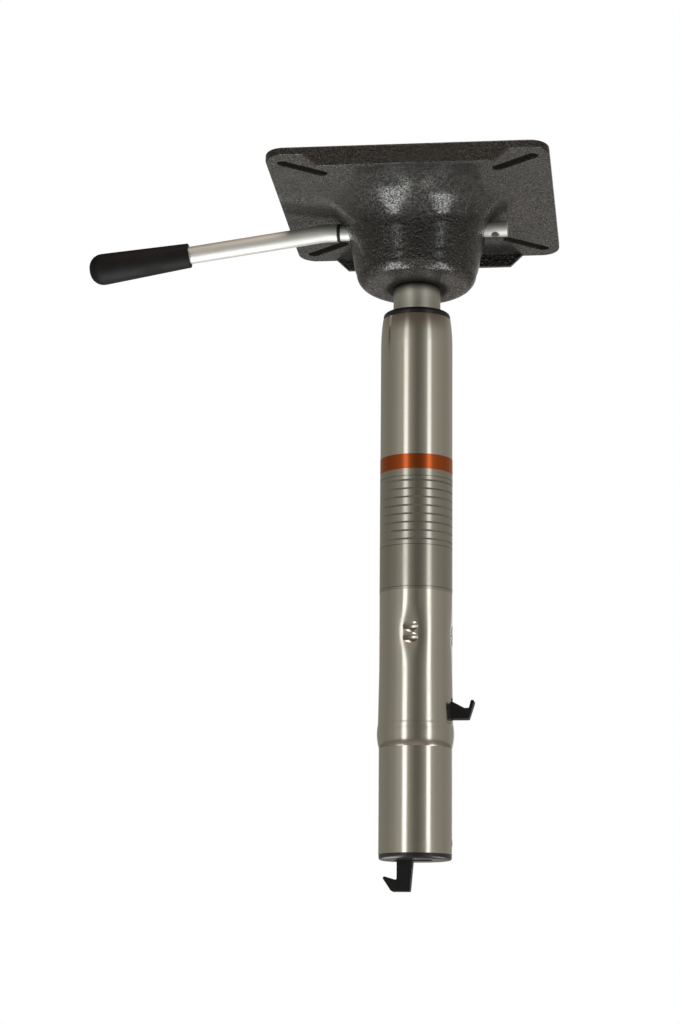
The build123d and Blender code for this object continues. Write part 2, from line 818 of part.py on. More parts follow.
# Seat mount
with BuildPart() as seat_mount:
    with BuildSketch(plate_plane):
        with Locations((plate_side, -plate_forward)):
            RectangleRounded(plate_size, plate_size, radius=plate_corner)
    extrude(amount=plate_thickness)
    fillet(seat_mount.faces().sort_by(bowl_axis)[-1].edges(), radius=plate_edge_round)
    for side in (-1, 1):
        edge_y = -plate_forward + side * (plate_size / 2 - lip_thickness / 2)
        lip_plane = Plane(origin=plate_plane.from_local_coords((plate_side, edge_y, 0)),
                          x_dir=(1, 0, 0), z_dir=bowl_section.z_dir)
        with BuildSketch(lip_plane):
            with BuildLine():
                Polyline(
                    (-lip_length / 2 - lip_end_slope, cut_margin),
                    (-lip_length / 2 - lip_end_slope, 0),
                    (-lip_length / 2, -lip_depth),
                    (lip_length / 2, -lip_depth),
                    (lip_length / 2 + lip_end_slope, 0),
                    (lip_length / 2 + lip_end_slope, cut_margin),
                    close=True,
                )
            make_face()
        extrude(amount=lip_thickness / 2, both=True)
    fillet([edge for edge in seat_mount.edges() if on_lower_rim(edge)], radius=plate_rim_round)
    add(bowl_outside.part)
    add(bowl_flare.part)
    add(bowl_inside.part, mode=Mode.SUBTRACT)
    add(bowl_core.part)
    # Four long slots on the plate's diagonals take the seat's bolts
    with BuildSketch(plate_plane.offset(-cut_margin)):
        for side_x in (-1, 1):
            for side_y in (-1, 1):
                centre = (plate_side + side_x * slot_pitch / 2, -plate_forward + side_y * slot_pitch / 2)
                with Locations(Location((*centre, 0), (0, 0, side_x * side_y * slot_angle))):
                    SlotOverall(slot_length, slot_width)
    extrude(amount=plate_thickness + 2 * cut_margin, mode=Mode.SUBTRACT)
    # Tapered bore for the cylinder
    with BuildSketch(Plane.XZ):
        with BuildLine():
            bore_slope = taper_drop / taper_height
            bore_low = bowl_bottom - boss_radius
            bore_high = boss_top + cut_margin
            Polyline(
                (0, bore_low),
                (cylinder_radius + seat_gap, bore_low),
                (cylinder_radius + seat_gap, taper_start),
                (cylinder_radius + seat_gap - bore_slope * (bore_high - taper_start), bore_high),
                (0, bore_high),
                close=True,
            )
        make_face()
    revolve(axis=Axis.Z, mode=Mode.SUBTRACT)
    # The lever pivots in a round hole on the left and swings in an upright slot on the right
    hole_reach = bowl_radius / 2
    hole_radius = lever_radius + lever_pivot_slack
    with BuildSketch(Plane.YZ.offset(-bowl_radius - bowl_blend)):
        with Locations((0, lever_height)):
            Circle(hole_radius)
    extrude(amount=hole_reach + bowl_blend, mode=Mode.SUBTRACT)
    # Outside the wall a wider scallop in the blend clears the rod's thicker part as it lifts
    scallop_start = -bowl_radius - bowl_blend
    scallop_end = -lever_shoulder + ring_width + 3 * side_gap
    lever_rise = -scallop_start * tan(radians(lever_lift)) / 2
    with BuildSketch(Plane.YZ.offset(scallop_start)):
        with Locations((0, lever_height)):
            Circle(lever_radius + ring_thickness + lever_rise - 3 * side_gap)
    extrude(amount=scallop_end - scallop_start, mode=Mode.SUBTRACT)
    lever_drop = 2 * bowl_radius * tan(radians(lever_lift))
    with BuildSketch(Plane.YZ.offset(hole_reach)):
        with Locations((0, lever_height - lever_drop / 2)):
            SlotOverall(lever_drop + 2 * hole_radius, 2 * hole_radius, rotation=90)
    extrude(amount=hole_reach + bowl_blend, mode=Mode.SUBTRACT)
finish(seat_mount, "seat_mount")

# Lever rod
droop = radians(lever_droop)
outer_dir = Vector(-cos(droop), 0, -sin(droop))
bend_point = Vector(-lever_bend, 0, lever_height)
rod_end = grip_start + grip_length - grip_tip_wall
with BuildPart() as lever_rod:
    with BuildSketch(Plane.YZ.offset(-lever_shoulder)):
        with Locations((0, lever_height)):
            Circle(lever_radius)
    extrude(amount=lever_shoulder + lever_stub)
    fillet(lever_rod.faces().sort_by(Axis.X)[-1].edges(), radius=lever_end_round)
    with BuildLine():
        FilletPolyline(
            (-lever_shoulder, 0, lever_height),
            bend_point,
            bend_point + outer_dir * rod_end,
            radius=lever_bend_radius,
        )
    with BuildSketch(Plane(origin=(-lever_shoulder, 0, lever_height), z_dir=(-1, 0, 0))):
        Circle(lever_outer_radius)
    sweep()
    slant = radians(cross_hole_slant)
    with BuildSketch(Plane(origin=(cross_hole, 0, lever_height), z_dir=(0, -cos(slant), -sin(slant)))):
        Circle(cross_hole_radius)
    extrude(amount=2 * lever_radius, both=True, mode=Mode.SUBTRACT)
finish(lever_rod, "lever_rod")

# Ring on the thin part of the rod, against its shoulder
with BuildPart() as lever_ring:
    with BuildSketch(Plane.YZ.offset(-lever_shoulder)):
        with Locations((0, lever_height)):
            Circle(lever_radius + ring_thickness)
            Circle(lever_radius + seat_gap, mode=Mode.SUBTRACT)
    extrude(amount=ring_width)
    ring_rims = lever_ring.edges().filter_by(GeomType.CIRCLE).group_by(SortBy.RADIUS)[-1]
    fillet(ring_rims, radius=ring_round)
finish(lever_ring, "lever_ring")

# Grip: a tapered moulding, pushed on over the end of the rod
with BuildPart() as lever_grip:
    grip_plane = Plane(origin=bend_point, x_dir=outer_dir, z_dir=(0, -1, 0))
    grip_end = grip_start + grip_length
    with BuildSketch(grip_plane):
        with BuildLine():
            FilletPolyline(
                (grip_start, lever_outer_radius + seat_gap),
                (grip_start, grip_neck_radius),
                (grip_end - grip_nose, grip_end_radius),
                (grip_end, grip_end_radius),
                (grip_end, 0),
                radius=(grip_start_round, grip_shoulder_round, grip_end_round),
            )
            Polyline(
                (grip_end, 0),
                (rod_end + seat_gap, 0),
                (rod_end + seat_gap, lever_outer_radius + seat_gap),
                (grip_start, lever_outer_radius + seat_gap),
            )
        make_face()
    revolve(axis=Axis(bend_point, outer_dir))
finish(lever_grip, "lever_grip")
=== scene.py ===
# %% [markdown]
# # A gas-lift boat seat pedestal
# The real object is a plug-in post of satin aluminium tube, a lifting gas cylinder inside it, and a
# cast seat mount with a hammered black powder coat. The imported model brings every working piece at
# its real size. This lesson adds the photograph's camera and light, the finish of each surface, a
# coil spring, and a plain decal on the post.

# %% Load the frame
import bpy
from math import pi, radians
from mathutils import Matrix, Vector
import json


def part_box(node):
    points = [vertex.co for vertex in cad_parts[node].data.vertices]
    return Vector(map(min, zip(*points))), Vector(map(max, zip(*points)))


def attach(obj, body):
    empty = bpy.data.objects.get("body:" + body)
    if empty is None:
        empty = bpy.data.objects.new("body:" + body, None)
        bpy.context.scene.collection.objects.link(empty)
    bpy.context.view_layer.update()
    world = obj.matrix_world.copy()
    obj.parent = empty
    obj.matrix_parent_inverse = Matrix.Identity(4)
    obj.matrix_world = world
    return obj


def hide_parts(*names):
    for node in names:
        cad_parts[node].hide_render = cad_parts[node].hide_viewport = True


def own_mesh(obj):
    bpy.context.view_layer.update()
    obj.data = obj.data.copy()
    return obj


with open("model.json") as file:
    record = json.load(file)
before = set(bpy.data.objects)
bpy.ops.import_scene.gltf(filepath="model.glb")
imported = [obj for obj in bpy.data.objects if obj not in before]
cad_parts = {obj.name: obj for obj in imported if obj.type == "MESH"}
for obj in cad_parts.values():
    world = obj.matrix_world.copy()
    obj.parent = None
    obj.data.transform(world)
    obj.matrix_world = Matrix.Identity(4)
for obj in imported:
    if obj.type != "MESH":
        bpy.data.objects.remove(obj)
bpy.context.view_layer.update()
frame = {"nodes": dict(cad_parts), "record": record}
nodes = frame["nodes"]

# %% [markdown]
# ## Camera
# The photograph looks up a little at the pedestal from below its foot, so the underside of the seat
# mount shows. A camera could be matched by eye. Here its numbers were worked out instead from how
# the square plate narrows with distance and from where the post's ends lie in the picture. A long
# lens far away keeps the post's sides nearly parallel, as the photograph does.

# %% Place the camera
scene = bpy.context.scene
photo_width = 680
photo_height = 1024
focal_pixels = 2591.0
sensor = 36.0
camera_place = Vector((0.1478, -1.5698, -0.1096))
camera_pitch = radians(11.50)
camera_turn = radians(7.1)
camera_roll = radians(0.53)

camera_data = bpy.data.cameras.new("photo_camera")
camera_data.sensor_width = sensor
camera_data.lens = focal_pixels * sensor / max(photo_width, photo_height)
camera_data.clip_start = 0.01
camera = bpy.data.objects.new("photo_camera", camera_data)
scene.collection.objects.link(camera)
camera.matrix_world = (
    Matrix.Translation(camera_place)
    @ Matrix.Rotation(camera_turn, 4, "Z")
    @ Matrix.Rotation(pi / 2 + camera_pitch, 4, "X")
    @ Matrix.Rotation(camera_roll, 4, "Z")
)
scene.camera = camera
scene.view_settings.view_transform = "Standard"
print("lens in mm:", round(camera_data.lens, 2))

# %% [markdown]
# ## Small helpers for node trees
# Every finish and every made shape below is a node tree. Trees can be drawn by hand in the node
# editor, but in a script they are easy to repeat with other values. These helpers keep them
# readable: one adds a node and sets its sockets by name, one joins two sockets, and the others wrap
# the few kinds of node that turn up again and again.


# %% Node helpers
def add_node(tree, kind, settings=None, **values):
    """Add a node, set its own settings, then its inputs by name (underscores stand for spaces)."""
    made = tree.nodes.new(kind)
    for key, value in (settings or {}).items():
        setattr(made, key, value)
    for key, value in values.items():
        made.inputs[key.replace("_", " ")].default_value = value
    return made


def join(tree, source, target):
    """Wire an output socket to an input socket."""
    tree.links.new(source, target)


def math_node(tree, operation, *values):
    """A Math node whose inputs are sockets or plain numbers."""
    made = add_node(tree, "ShaderNodeMath", {"operation": operation})
    for socket, value in zip(made.inputs, values):
        if isinstance(value, (int, float)):
            socket.default_value = value
        else:
            join(tree, value, socket)
    return made.outputs[0]


def split(tree, vector):
    """The X, Y and Z sockets of a vector."""
    made = add_node(tree, "ShaderNodeSeparateXYZ")
    join(tree, vector, made.inputs[0])
    return made.outputs


def combine(tree, **parts):
    """A vector from the sockets given for X, Y or Z."""
    made = add_node(tree, "ShaderNodeCombineXYZ")
    for axis, value in parts.items():
        join(tree, value, made.inputs[axis])
    return made.outputs[0]


def object_place(tree):
    """Object coordinates, in metres."""
    return add_node(tree, "ShaderNodeTexCoord").outputs["Object"]


def ramp(tree, factor, low, high):
    """Map the range low to high of a value smoothly onto 0 to 1."""
    made = add_node(tree, "ShaderNodeMapRange", {"interpolation_type": "SMOOTHSTEP"})
    made.inputs["From Min"].default_value = low
    made.inputs["From Max"].default_value = high
    join(tree, factor, made.inputs["Value"])
    return made.outputs["Result"]


def mix_colour(tree, factor, first, second):
    """Mix two colours, each a socket or a tuple, by a factor socket."""
    made = add_node(tree, "ShaderNodeMix", {"data_type": "RGBA"})
    join(tree, factor, made.inputs["Factor"])
    for name, value in (("A", first), ("B", second)):
        socket = [s for s in made.inputs if s.name == name and s.type == "RGBA"][0]
        if isinstance(value, tuple):
            socket.default_value = (*value, 1.0)
        else:
            join(tree, value, socket)
    return [s for s in made.outputs if s.type == "RGBA"][0]


# %% [markdown]
# ## Background and world
# The photograph is a cut-out on pure white. The camera sees a white world through Light Path, and
# so do glossy and transmission rays that leave the object backwards, so metal shows the white
# behind it. For everything else the world is a studio: a dim warm room whose tone changes with the
# azimuth, and two tall soft strips. Lamps could stand for the strips, but a vertical satin tube
# mirrors each azimuth in one upright line, so a list of tones by azimuth draws the tube's shading
# from edge to edge, and the strips are its two bright stripes. Azimuth 0 is in front and 90 to the
# right. The floor further on hides all but the last few degrees below the horizon.

# %% World tones
room_tones = {
    -180: 0.22, -150: 0.26, -121: 0.27, -103: 0.26, -88: 0.245, -76: 0.27, -64: 0.32, -53: 0.43,
    -42: 0.50, -20: 0.46, -13: 0.33, -4: 0.21, 5: 0.135, 15: 0.145, 24: 0.21, 33: 0.36, 54: 0.50,
    64: 0.42, 75: 0.345, 87: 0.315, 99: 0.29, 114: 0.28, 132: 0.33, 150: 0.36, 180: 0.22,
}
strip_tones = {
    -36.5: 0.0, -34.0: 1.0, -23.5: 1.0, -21.0: 0.0, 39.0: 0.0, 41.5: 1.0, 51.0: 1.0, 53.5: 0.0,
}
white = (1.0, 1.0, 1.0)
room_tint = (1.0, 0.96, 0.83)
strip_tint = (0.97, 0.985, 1.02)
ceiling_colour = (0.110, 0.080, 0.060)
low_front = (0.085, 0.085, 0.080)
low_behind = (0.240, 0.245, 0.235)

# Brightness of the strips at the foot and at the top of their fade.
strip_low = 1.75
strip_high = 0.85

# Each pair is a range of a direction's Y or Z, over which one thing turns into another.
behind_range = (0.90, 0.99)
horizon_range = (-0.12, 0.02)
strip_range = (0.12, 0.32)
ceiling_range = (0.30, 0.50)
backwards_range = (-0.2, 0.6)


# %% World helpers
def tone_ramp(tree, factor, tones, tint):
    """A Color Ramp over the azimuth, from a table of degrees and tones."""
    made = add_node(tree, "ShaderNodeValToRGB")
    stops = made.color_ramp.elements
    stops.remove(stops[0])
    for index, (degrees, tone) in enumerate(sorted(tones.items())):
        place = degrees / 360 + 0.5
        stop = stops[0] if index == 0 else stops.new(place)
        stop.position = place
        stop.color = (*(tone * c for c in tint), 1.0)
    join(tree, factor, made.inputs["Fac"])
    return made.outputs["Color"]


def add_colours(tree, first, second):
    """The sum of two colours."""
    made = add_node(tree, "ShaderNodeVectorMath", {"operation": "ADD"})
    join(tree, first, made.inputs[0])
    join(tree, second, made.inputs[1])
    return made.outputs[0]


# %% World
world = bpy.data.worlds.new("studio")
scene.world = world
world.use_nodes = True
sky = world.node_tree
sky.nodes.clear()
axes = split(sky, add_node(sky, "ShaderNodeTexCoord").outputs["Generated"])
towards_front = math_node(sky, "MULTIPLY", axes["Y"], -1.0)
azimuth = math_node(sky, "ARCTAN2", axes["X"], towards_front)
turn = math_node(sky, "ADD", math_node(sky, "DIVIDE", azimuth, 2 * pi), 0.5)
above = ramp(sky, axes["Z"], *horizon_range)

# %% Where the white shows
rays = add_node(sky, "ShaderNodeLightPath")
mirrored = math_node(sky, "ADD", rays.outputs["Is Glossy Ray"], rays.outputs["Is Transmission Ray"])
behind = math_node(sky, "MULTIPLY", ramp(sky, axes["Y"], *behind_range), above)
mirrored = math_node(sky, "MULTIPLY", mirrored, behind)
shown = math_node(sky, "MAXIMUM", rays.outputs["Is Camera Ray"], mirrored)

# %% Room and strips
fade = ramp(sky, axes["Z"], *strip_range)
fade.node.inputs["To Min"].default_value = strip_low
fade.node.inputs["To Max"].default_value = strip_high
strips = add_node(sky, "ShaderNodeVectorMath", {"operation": "SCALE"})
join(sky, tone_ramp(sky, turn, strip_tones, strip_tint), strips.inputs[0])
join(sky, fade, strips.inputs["Scale"])
room = add_colours(sky, tone_ramp(sky, turn, room_tones, room_tint), strips.outputs[0])
room = mix_colour(sky, ramp(sky, axes["Z"], *ceiling_range), room, ceiling_colour)
low = mix_colour(sky, ramp(sky, axes["Y"], *backwards_range), low_front, low_behind)
room = mix_colour(sky, above, low, room)
background = add_node(sky, "ShaderNodeBackground")
join(sky, mix_colour(sky, shown, room, white), background.inputs["Color"])
world_out = add_node(sky, "ShaderNodeOutputWorld")
join(sky, background.outputs[0], world_out.inputs["Surface"])
print("world nodes:", len(sky.nodes))

# %% [markdown]
# ## Floor
# The pedestal hangs over a plain pale floor, which the photograph's camera doesn't see. A white
# floor would throw more light at the mount from below, so the floor is painted pale, and Light Path
# lifts it towards the white of the world where the camera sees it. A view from above then has a
# pale floor with a soft shadow, and the pedestal gets no more light for it. Mirrors see a little of
# that lift.

# %% Make the floor
floor_level = -0.25
floor_reach = 12.0
floor_seen = 0.62
floor_mirrored = 0.04
floor_colour = (0.72, 0.72, 0.71, 1.0)
floor_roughness = 0.85
floor_mesh = bpy.data.meshes.new("studio_floor")
sides = [(-floor_reach, -floor_reach), (floor_reach, -floor_reach),
         (floor_reach, floor_reach), (-floor_reach, floor_reach)]
floor_mesh.from_pydata([(x, y, floor_level) for x, y in sides], [], [(0, 1, 2, 3)])
floor = bpy.data.objects.new("studio_floor", floor_mesh)
scene.collection.objects.link(floor)

# %% Paint the floor
floor_paint = bpy.data.materials.new("floor_paint")
floor_paint.use_nodes = True
tree = floor_paint.node_tree
shader = tree.nodes["Principled BSDF"]
shader.inputs["Base Color"].default_value = floor_colour
shader.inputs["Roughness"].default_value = floor_roughness
shader.inputs["Emission Color"].default_value = (*white, 1.0)
rays = add_node(tree, "ShaderNodeLightPath")
seen = math_node(tree, "MAXIMUM", rays.outputs["Is Camera Ray"], rays.outputs["Is Transmission Ray"])
seen = math_node(tree, "MULTIPLY", seen, floor_seen)
mirrored = math_node(tree, "MULTIPLY", rays.outputs["Is Glossy Ray"], floor_mirrored)
join(tree, math_node(tree, "MAXIMUM", seen, mirrored), shader.inputs["Emission Strength"])
floor_mesh.materials.append(floor_paint)
print("floor at", floor_level)

# %% [markdown]
# ## Lamps
# The tall strips are in the world. A large warm lamp above and in front gives the lip and the lever
# their soft top light and the floor its shadow. The world can't light from below, because the floor
# stands in its way, so what the mount mirrors from down there is real area lamps: two that lie flat
# near the floor, left and right, are the two sparkling patches on the broad blend of the bowl, and
# one low behind is what the flat underside mirrors at a shallow angle.


# %% Softboxes
def softbox(name, place, aim, width, length, brightness, colour):
    """A rectangular area lamp that looks from a place at another, unseen by the camera."""
    data = bpy.data.lights.new(name, "AREA")
    data.shape = "RECTANGLE"
    data.size = width
    data.size_y = length
    data.energy = brightness * pi * width * length
    data.color = colour
    made = bpy.data.objects.new(name, data)
    scene.collection.objects.link(made)
    made.location = place
    made.rotation_mode = "QUATERNION"
    made.rotation_quaternion = (aim - place).to_track_quat("-Z", "Y")
    made.visible_camera = False
    return made


def flat_lamp(name, near, far, width, brightness, colour):
    """A lamp that lies level and looks up, long from one point to another."""
    start, end = Vector(near), Vector(far)
    middle = (start + end) / 2
    length = (end - start).length
    made = softbox(name, middle, middle + Vector((0, 0, 1)), width, length, brightness, colour)
    heading = (end - start).to_2d().angle_signed(Vector((0.0, 1.0)))
    looking_up = Matrix.Rotation(heading, 4, "Z") @ Matrix.Rotation(pi, 4, "Y")
    made.rotation_quaternion = looking_up.to_quaternion()
    return made


# %% Set the lamps
mount_centre = Vector((0.0, -0.045, 0.39))
above_front = Vector((0.25, -0.70, 1.70))
below_back = Vector((-0.07, 0.85, -0.08))
lamp_level = -0.15
left_near, left_far = (-0.400, -0.480, lamp_level), (-0.142, 0.160, lamp_level)
right_near, right_far = (0.590, -0.380, lamp_level), (0.175, 0.120, lamp_level)
warm = (1.0, 0.87, 0.75)
cool = (0.98, 1.0, 1.0)
plain = (1.0, 1.0, 0.97)
softbox("overhead", above_front, mount_centre, width=1.2, length=1.2, brightness=2.2, colour=warm)
flat_lamp("low_left", left_near, left_far, width=0.22, brightness=5.8, colour=cool)
flat_lamp("low_right", right_near, right_far, width=0.20, brightness=5.9, colour=cool)
softbox("low_behind", below_back, mount_centre, width=0.6, length=0.6, brightness=0.26, colour=plain)

# %% [markdown]
# ## Shared finishes
# Three effects turn up on more than one piece, so each is a node group with named inputs, and not a
# copy in every material. Drawn metal has fine lines along its length and slow shifts of tone.
# Moulded plastic has a fine even grain. Handling leaves broad soft smudges that change how sharply
# a surface mirrors.


# %% Group helper
def new_group(name, inputs, outputs):
    """A shader node group with inputs (name: value) and outputs (name: socket type)."""
    group = bpy.data.node_groups.new(name, "ShaderNodeTree")
    for label, value in inputs.items():
        kind = "NodeSocketVector" if isinstance(value, tuple) else "NodeSocketFloat"
        socket = group.interface.new_socket(label, in_out="INPUT", socket_type=kind)
        socket.default_value = value
    for label, kind in outputs.items():
        group.interface.new_socket(label, in_out="OUTPUT", socket_type=kind)
    return group, group.nodes.new("NodeGroupInput"), group.nodes.new("NodeGroupOutput")


def stretched_place(group, inlet):
    """Object coordinates, in metres, stretched by the group's Stretch input."""
    made = add_node(group, "ShaderNodeVectorMath", {"operation": "MULTIPLY"})
    join(group, object_place(group), made.inputs[0])
    join(group, inlet.outputs["Stretch"], made.inputs[1])
    return made.outputs[0]


def noise(tree, place, size=None, **values):
    """A Noise Texture at a place, with its scale from a socket where one is given."""
    made = add_node(tree, "ShaderNodeTexNoise", **values)
    join(tree, place, made.inputs["Vector"])
    if size is not None:
        join(tree, size, made.inputs["Scale"])
    return made.outputs


# %% Drawn lines
band_range = (0.3, 0.7)
drawn_lines, inlet, outlet = new_group(
    "drawn_lines",
    {"Stretch": (1.0, 1.0, 0.02), "Fineness": 2600.0, "Band_Size": 90.0},
    {"Height": "NodeSocketFloat", "Tone": "NodeSocketFloat"},
)
place = stretched_place(drawn_lines, inlet)
lines = noise(drawn_lines, place, inlet.outputs["Fineness"], Detail=3.0, Roughness=0.6)
bands = noise(drawn_lines, place, inlet.outputs["Band_Size"], Detail=2.0, Roughness=0.5)
join(drawn_lines, lines["Fac"], outlet.inputs["Height"])
join(drawn_lines, ramp(drawn_lines, bands["Fac"], *band_range), outlet.inputs["Tone"])

# %% Moulded grain
cloud_scale = 60.0
cloud_range = (0.35, 0.65)
moulded_grain, inlet, outlet = new_group(
    "moulded_grain",
    {"Stretch": (1.0, 1.0, 1.0), "Fineness": 1800.0},
    {"Height": "NodeSocketFloat", "Tone": "NodeSocketFloat"},
)
place = stretched_place(moulded_grain, inlet)
grain = noise(moulded_grain, place, inlet.outputs["Fineness"], Detail=4.0, Roughness=0.7)
clouds = noise(moulded_grain, place, Detail=2.0, Scale=cloud_scale)
join(moulded_grain, grain["Fac"], outlet.inputs["Height"])
join(moulded_grain, ramp(moulded_grain, clouds["Fac"], *cloud_range), outlet.inputs["Tone"])

# %% Smudges
smudge_range = (0.42, 0.68)
smudges, inlet, outlet = new_group(
    "smudges",
    {"Stretch": (1.0, 1.0, 1.0), "Size": 34.0},
    {"Mask": "NodeSocketFloat"},
)
place = stretched_place(smudges, inlet)
blots = noise(smudges, place, inlet.outputs["Size"], Detail=5.0, Roughness=0.62, Distortion=0.6)
join(smudges, ramp(smudges, blots["Fac"], *smudge_range), outlet.inputs["Mask"])
print("groups:", [g.name for g in bpy.data.node_groups])


# %% Material helpers
def use_group(tree, group, **values):
    """Add a node group to a material with its own values."""
    made = tree.nodes.new("ShaderNodeGroup")
    made.node_tree = group
    for key, value in values.items():
        made.inputs[key].default_value = value
    return made


def new_material(name, metallic=0.0, **shader_values):
    """A material whose tree holds only its shader, with the plain values set on the shader."""
    made = bpy.data.materials.new(name)
    made.use_nodes = True
    shader = made.node_tree.nodes["Principled BSDF"]
    shader.inputs["Metallic"].default_value = metallic
    for key, value in shader_values.items():
        shader.inputs[key.replace("_", " ")].default_value = value
    return made, made.node_tree, shader


def mix_value(tree, factor, low, high):
    """A number that runs from low to high with a factor socket."""
    made = add_node(tree, "ShaderNodeMapRange", To_Min=low, To_Max=high)
    join(tree, factor, made.inputs["Value"])
    return made.outputs["Result"]


def bump(tree, shader, height, strength, distance):
    """Feed a height to the shader's normal through a Bump node."""
    made = add_node(tree, "ShaderNodeBump", Strength=strength, Distance=distance)
    join(tree, height, made.inputs["Height"])
    join(tree, made.outputs["Normal"], shader.inputs["Normal"])


# %% [markdown]
# ## The post's drawn-in wall
# The post is pinched in four places onto the disc inside it, and the solids have the dents
# themselves. The wall round each dent is drawn in a little too, for some 15 mm up and down, and the
# bright stripes bend there. It could be modelled, but it is a slope of a few degrees that the
# outline doesn't show, so it is a soft hollow in the relief: its depth falls off with the distance
# round the post, measured with a ping-pong of the azimuth, and with the distance up or down it. The
# bead lower down looks soft in the photograph, so there the relief takes back part of its slope.

# %% Drawn-in wall
post_radius = 0.0225
bead_foot, bead_crest, bead_top = 0.0640, 0.0730, 0.0790
bead_taken_back = 0.00055
pinch_level = 0.133
pinch_turn = radians(-3.3)
pinch_depth = 0.0010
pinch_across = 0.0058
pinch_along = 0.0120

# The squared distance, counted in those two widths, at which the hollow has run out.
pinch_end = 20.0


def drawn_wall(tree):
    """The hollow round four pinches, and part of the bead taken back, as a height in metres."""
    parts = split(tree, object_place(tree))
    height = parts["Z"]
    azimuth = math_node(tree, "ARCTAN2", parts["X"], math_node(tree, "MULTIPLY", parts["Y"], -1.0))
    around = math_node(tree, "SUBTRACT", azimuth, pinch_turn)
    aside = math_node(tree, "PINGPONG", around, pi / 4)
    aside = math_node(tree, "MULTIPLY", aside, post_radius / pinch_across)
    up = math_node(tree, "SUBTRACT", height, pinch_level)
    up = math_node(tree, "DIVIDE", up, pinch_along)
    up = math_node(tree, "MULTIPLY", up, up)
    far = math_node(tree, "ADD", math_node(tree, "POWER", aside, 2.0), up)
    near = math_node(tree, "EXPONENT", math_node(tree, "MINIMUM", far, pinch_end))
    hollow = math_node(tree, "DIVIDE", -pinch_depth, near)
    rising = ramp(tree, height, bead_foot, bead_crest)
    bead = math_node(tree, "MULTIPLY", rising, ramp(tree, height, bead_top, bead_crest))
    bead = math_node(tree, "MULTIPLY", bead, -bead_taken_back)
    return math_node(tree, "ADD", hollow, bead)


# %% [markdown]
# ## Metals
# All the bare metals are drawn, turned or ground. Each could have a tree of its own, but they share
# one recipe: lines along a direction, slow tone shifts and smudges. Each piece gets its own colour,
# line direction, fineness and polish. Where the cylinder meets the mount's foot it has painted shade,
# a change of colour with the height that turns it black.

# %% Metal recipe
line_strength = 0.25
# Painted shade: the black the cylinder's top turns under the mount's foot, for the foot's shadow and
# dark reflection.
under_foot_black = (0.02, 0.02, 0.018)


def metal(name, light, dark, polish, smudged, stretch, fineness, depth, shade_heights=None, pinched=False):
    """A bare metal: tone between two colours, roughness between polish and smudged, fine lines.

    Shade_heights is a pair of heights between which the metal turns black, as painted shade.
    Pinched adds the post's drawn-in wall to the relief, which is then a height in metres.
    """
    made, tree, shader = new_material(name, metallic=1.0)
    lines = use_group(tree, drawn_lines, Stretch=stretch, Fineness=fineness)
    marks = use_group(tree, smudges)
    tone = mix_colour(tree, lines.outputs["Tone"], dark, light)
    # Painted shade: between the two heights the tone turns black towards the top.
    if shade_heights:
        height = split(tree, object_place(tree))["Z"]
        tone = mix_colour(tree, ramp(tree, height, *shade_heights), tone, under_foot_black)
    join(tree, tone, shader.inputs["Base Color"])
    roughness = mix_value(tree, marks.outputs["Mask"], polish, smudged)
    join(tree, roughness, shader.inputs["Roughness"])
    if pinched:
        relief = math_node(tree, "MULTIPLY", lines.outputs["Height"], line_strength * depth)
        relief = math_node(tree, "ADD", relief, drawn_wall(tree))
        bump(tree, shader, relief, strength=1.0, distance=1.0)
    else:
        bump(tree, shader, lines.outputs["Height"], line_strength, depth)
    return made


# %% Make the metals
# Each row: light and dark colour, polish, smudged, line direction, fineness, line depth. Two rows
# go on: the cylinder with the heights of its painted shade, the post with none of it and its pinches.
along_z = (1.0, 1.0, 0.012)
along_x = (0.02, 1.0, 1.0)
turned_z = (0.15, 0.15, 1.0)
# Heights over which the cylinder's top turns black, as painted shade under the foot.
under_foot_shade = (0.3490, 0.3560)
metals = {
    "satin_post": (
        (0.66, 0.64, 0.58), (0.59, 0.57, 0.51), 0.16, 0.20, along_z, 2200.0, 0.00002, None, True
    ),
    "cylinder_steel": (
        (0.72, 0.71, 0.64), (0.64, 0.63, 0.57), 0.45, 0.52, turned_z, 2600.0, 0.00002, under_foot_shade
    ),
    "chromed_rod": (
        (0.82, 0.82, 0.82), (0.76, 0.76, 0.77), 0.06, 0.12, turned_z, 3000.0, 0.000004
    ),
    "bright_steel": (
        (0.62, 0.61, 0.59), (0.50, 0.49, 0.47), 0.24, 0.38, turned_z, 1500.0, 0.00002
    ),
    "valve_brass": (
        (0.78, 0.60, 0.30), (0.66, 0.49, 0.23), 0.22, 0.36, turned_z, 1500.0, 0.00002
    ),
    "lever_aluminium": (
        (0.84, 0.86, 0.84), (0.77, 0.79, 0.77), 0.56, 0.64, along_x, 2400.0, 0.00003
    ),
}
finishes = {name: metal(name, *recipe) for name, recipe in metals.items()}
print("metals:", sorted(finishes))

# %% [markdown]
# ## Hammered paint
# The seat mount's powder coat shrinks into small round dimples as it cures. They could be modelled,
# but there are thousands of them and they are too shallow to change the outline, so they are
# relief: rounded cells about 1.6 mm wide, with a noise that bends their edges and a finer noise
# that makes the top layer patchy. The paint is nearly black: the dimples show where a lamp is
# mirrored, as a field of bright dots. Their depth is more than real, so that the dots stand as
# clearly apart as in the photograph. The slots' walls and the ring where the foot meets the cylinder
# get painted shade: masks from the plate's own place and from the distance to the axis turn those
# near-black, and dull.

# %% Where the plate lies
plate_tilt = radians(5.0)
plate_middle = Vector((0.002, -0.01742, 0.40583))
plate_inner = (0.0790, 0.0800)
slot_wall = (0.0014, 0.0022)
# Painted shade: a near-black ring on the foot round the cylinder, within these radii and below this
# height.
foot_shade_reach = (0.0230, 0.0170)
foot_shade_top = 0.360


def within(tree, value, inner, outer):
    """1 where a number's size is under inner, falling to 0 at outer."""
    return ramp(tree, math_node(tree, "ABSOLUTE", value), outer, inner)


